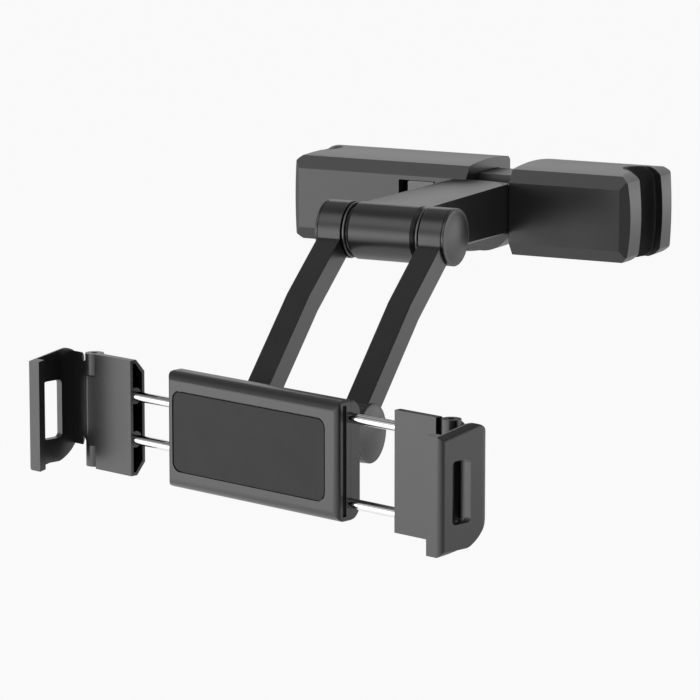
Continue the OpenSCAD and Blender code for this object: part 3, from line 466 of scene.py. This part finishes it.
def finish_of(key):
    """One shared material for each finish, made when it is first asked for."""
    values = bpy.context.scene.mount_finish
    makers = {
        "shell": lambda: moulded("satin_shell_plastic", values.shell, values.gloss),
        "trim": lambda: moulded("dark_trim_plastic", values.trim, 0.42, TRIM_SHINE),
        "acetal": lambda: moulded("slide_plastic", (0.05, 0.05, 0.052), 0.3),
        "pad": lambda: rubbered("pad_rubber", values.pad),
        "lining": lambda: rubbered("lining_rubber", (0.012, 0.012, 0.012)),
        "rod": lambda: polished("polished_rod", values.rod),
        "steel": lambda: plated("zinc_steel", values.steel, 0.3),
        "spring": lambda: plated("spring_steel", (0.32, 0.31, 0.30), 0.24),
    }
    if key not in FINISHES:
        FINISHES[key] = makers[key]()
    return FINISHES[key]


# ------------------------------------------------------------------ operators

class Step(bpy.types.Operator):
    """Shared start of the mount's operators."""
    bl_options = {"REGISTER", "UNDO"}

    def execute(self, context):
        self.build(context.scene.mount_detail)
        return {"FINISHED"}


class MOUNT_OT_clamp(Step):
    """Softens both clamp halves and their back covers"""
    bl_idname = "mount.clamp"
    bl_label = "Clamp Halves"

    def build(self, detail):
        for node in ("left_housing", "right_housing", "left_back_cover", "right_back_cover"):
            softened(node, finish_of("shell"), detail.edge)


class MOUNT_OT_linings(Step):
    """Softens the rubber linings of the post slots"""
    bl_idname = "mount.linings"
    bl_label = "Slot Linings"

    def build(self, detail):
        for node in ("left_post_pad", "right_post_pad"):
            softened(node, finish_of("lining"), detail.fine_edge)


class MOUNT_OT_rail(Step):
    """Softens the telescoping rail and the lock slider"""
    bl_idname = "mount.rail"
    bl_label = "Rail and Slider"

    def build(self, detail):
        for node in ("telescoping_rail", "lock_slider"):
            softened(node, finish_of("trim"), detail.fine_edge)


class MOUNT_OT_arm(Step):
    """Softens the extension arm, whose long edges are rounder than the clamp's"""
    bl_idname = "mount.arm"
    bl_label = "Extension Arm"

    def build(self, detail):
        softened("extension_arm", finish_of("shell"), detail.arm_edge, ARM_STRIPS)


class MOUNT_OT_links(Step):
    """Softens the two link arms"""
    bl_idname = "mount.links"
    bl_label = "Link Arms"

    def build(self, detail):
        for node in ("left_link_arm", "right_link_arm"):
            softened(node, finish_of("shell"), detail.edge)


class MOUNT_OT_hinge_trim(Step):
    """Softens the hinge caps and friction washers"""
    bl_idname = "mount.hinge_trim"
    bl_label = "Caps and Washers"

    def build(self, detail):
        for level in ("upper", "lower"):
            for side in ("left", "right"):
                softened(level + "_" + side + "_cap", finish_of("shell"), detail.edge)
                softened(level + "_" + side + "_washer", finish_of("trim"), detail.edge)


class MOUNT_OT_swivel(Step):
    """Softens the knuckle, the socket and its retainer"""
    bl_idname = "mount.swivel"
    bl_label = "Ball Swivel"

    def build(self, detail):
        for node in ("ball_knuckle", "swivel_socket", "swivel_retainer"):
            softened(node, finish_of("trim"), detail.fine_edge)


class MOUNT_OT_block(Step):
    """Softens the centre block's shells and its rubber pad"""
    bl_idname = "mount.block"
    bl_label = "Centre Block"

    def build(self, detail):
        for node in ("front_shell", "rear_shell"):
            softened(node, finish_of("shell"), detail.fine_edge)
        softened("grip_pad", finish_of("pad"), detail.fine_edge)


class MOUNT_OT_jaws(Step):
    """Softens the jaw blocks and hooks"""
    bl_idname = "mount.jaws"
    bl_label = "Jaws and Hooks"

    def build(self, detail):
        for side in ("left", "right"):
            softened(side + "_jaw_block", finish_of("shell"), detail.fine_edge)
            softened(side + "_hook", finish_of("shell"), detail.edge)


class MOUNT_OT_metal(Step):
    """Softens the rods and dresses axles, pins, screws and the spring"""
    bl_idname = "mount.metal"
    bl_label = "Metal Parts"

    def build(self, detail):
        for node in NODES:
            if node.endswith("_rod"):
                softened(node, finish_of("rod"), detail.fine_edge)
            elif node == "return_spring":
                dress(NODES[node].data, finish_of("spring"))
            elif slot_of(node) == "steel":
                dress(NODES[node].data, finish_of("steel"))


class MOUNT_OT_drive(Step):
    """Dresses the racks and the pinion"""
    bl_idname = "mount.drive"
    bl_label = "Rack and Pinion"

    def build(self, detail):
        for node in ("left_rack", "right_rack", "drive_pinion"):
            dress(NODES[node].data, finish_of("acetal"))


def softbox(name, place, width, height, power):
    """Rectangular area lamp at place that faces the mount and isn't seen in reflections."""
    lamp = bpy.data.lights.new(name, "AREA")
    lamp.shape = "RECTANGLE"
    lamp.size = width
    lamp.size_y = height
    lamp.energy = power
    obj = put_in_scene(name, lamp)
    aim = (Vector(LIGHT_AIM) - Vector(place)).normalized()
    obj.matrix_world = (Matrix.Translation(Vector(place))
                        @ aim.to_track_quat("-Z", "Y").to_matrix().to_4x4())
    obj.visible_glossy = False


class MOUNT_OT_studio(Step):
    """Builds the camera, the soft lights and the pale floor"""
    bl_idname = "mount.studio"
    bl_label = "Studio"

    def build(self, detail):
        studio = bpy.context.scene.mount_studio
        self.camera(studio)
        self.lights()
        self.floor(studio)

    def camera(self, studio):
        """Camera on a sphere about the mount, looking straight past its middle."""
        a, e = studio.turn, studio.rise
        right = Vector((math.cos(a), math.sin(a), 0.0))
        back = Vector((math.sin(a) * math.cos(e), -math.cos(a) * math.cos(e), math.sin(e)))
        up = Vector((-math.sin(e) * math.sin(a), math.sin(e) * math.cos(a), math.cos(e)))
        place = MIDDLE - right * PICTURE_LEFT - up * PICTURE_DOWN + back * studio.distance
        lens = bpy.data.cameras.new("photo_camera")
        lens.sensor_width = SENSOR
        lens.lens = studio.lens
        lens.clip_start, lens.clip_end = CLIP
        camera = put_in_scene("photo_camera", lens)
        camera.matrix_world = Matrix((
            (right.x, up.x, back.x, place.x),
            (right.y, up.y, back.y, place.y),
            (right.z, up.z, back.z, place.z),
            (0.0, 0.0, 0.0, 1.0)))
        bpy.context.scene.camera = camera

    def lights(self):
        """The surround, a key from the front left and a soft top light."""
        for light in LIGHTS:
            softbox(**light)
        world = bpy.data.worlds.new("studio_world")
        bpy.context.scene.world = world
        world.use_nodes = True
        self.surround(Graph(world.node_tree, "ShaderNodeOutputWorld"))
        bpy.context.scene.view_settings.view_transform = "Standard"

    def surround(self, sky):
        """White walls to the eye. Reflections see a bright front, a softer ceiling, a dim back
        wall and two dark strips behind the mount that draw lines along polished rods."""
        east, north, height = sky.axes(sky.node("ShaderNodeTexCoord", out="Generated"))
        front = north.fade(-0.5, 0.05) * height.fade(0.0, 0.35) * brightness(
            FRONT, (north, -0.75, -0.5, -0.2),
            (east, -0.35, 0.0, -0.3), (east, 0.1, 0.5, -0.35))
        above = height.band((0.3, 0.5), (0.79, 0.88)) * north.fade(-0.45, -0.25)
        back = north.ramp(-0.1, 0.3) * brightness(
            0.05, (east, 0.2, 0.6, 0.1), (height, 0.08, 0.35, 0.19), (height, 0.5, 0.8, -0.19))
        strips = height.size().band((0.50, 0.56), (0.66, 0.72)) * north.ramp(-0.1, 0.2)
        lit = (back + WALL_BASE + front + above * CEILING) * (1.0 - strips)
        room = sky.node("ShaderNodeBackground", inputs={
            "Color": sky.tint(lit, BLACK, WHITE), "Strength": REFLECTED})
        dim = sky.node("ShaderNodeBackground", inputs={"Strength": AMBIENT})
        walls = sky.node("ShaderNodeBackground", inputs={"Color": WHITE})
        sky.show(sky.mix(sky.ray("Camera", "Transmission"),
                         sky.mix(sky.ray("Glossy"), dim, room), walls))

    def floor(self, studio):
        """Flat pale floor under the mount."""
        u = np.linspace(-FLOOR_HALF, FLOOR_HALF, FLOOR_POINTS)
        points = np.stack(
            np.broadcast_arrays(u[:, None], u[None, :], studio.floor_drop), axis=-1)
        floor = put_in_scene("studio_floor", grid_mesh("studio_floor", points))
        dress(floor.data, flooring("studio_floor", FLOOR_COLOUR))


class MOUNT_PT_panel(bpy.types.Panel):
    """Lists the mount's values and steps"""
    bl_idname = "MOUNT_PT_panel"
    bl_label = "Tablet Mount"
    bl_space_type = "VIEW_3D"
    bl_region_type = "UI"
    bl_category = "Tablet Mount"

    def draw(self, context):
        for group in (context.scene.mount_finish, context.scene.mount_detail,
                      context.scene.mount_studio):
            box = self.layout.box()
            for name in group.__annotations__:
                box.prop(group, name)
        for step in STEPS:
            self.layout.operator(step.bl_idname)


STEPS = (MOUNT_OT_clamp, MOUNT_OT_linings, MOUNT_OT_rail, MOUNT_OT_arm, MOUNT_OT_links,
         MOUNT_OT_hinge_trim, MOUNT_OT_swivel, MOUNT_OT_block, MOUNT_OT_jaws,
         MOUNT_OT_metal, MOUNT_OT_drive, MOUNT_OT_studio)
GROUPS = {"mount_finish": MountFinish, "mount_detail": MountDetail, "mount_studio": MountStudio}


def register():
    for kind in (*GROUPS.values(), *STEPS, MOUNT_PT_panel):
        bpy.utils.register_class(kind)
    for name, kind in GROUPS.items():
        setattr(bpy.types.Scene, name, bpy.props.PointerProperty(type=kind))


def unregister():
    for name in GROUPS:
        delattr(bpy.types.Scene, name)
    for kind in (MOUNT_PT_panel, *reversed(STEPS), *reversed(GROUPS.values())):
        bpy.utils.unregister_class(kind)


def main():
    register()
    for step in STEPS:
        group, name = step.bl_idname.split(".")
        if "FINISHED" not in getattr(getattr(bpy.ops, group), name)():
            raise RuntimeError(step.bl_label + " didn't finish")
    bpy.context.view_layer.update()


if __name__ == "__main__":
    main()
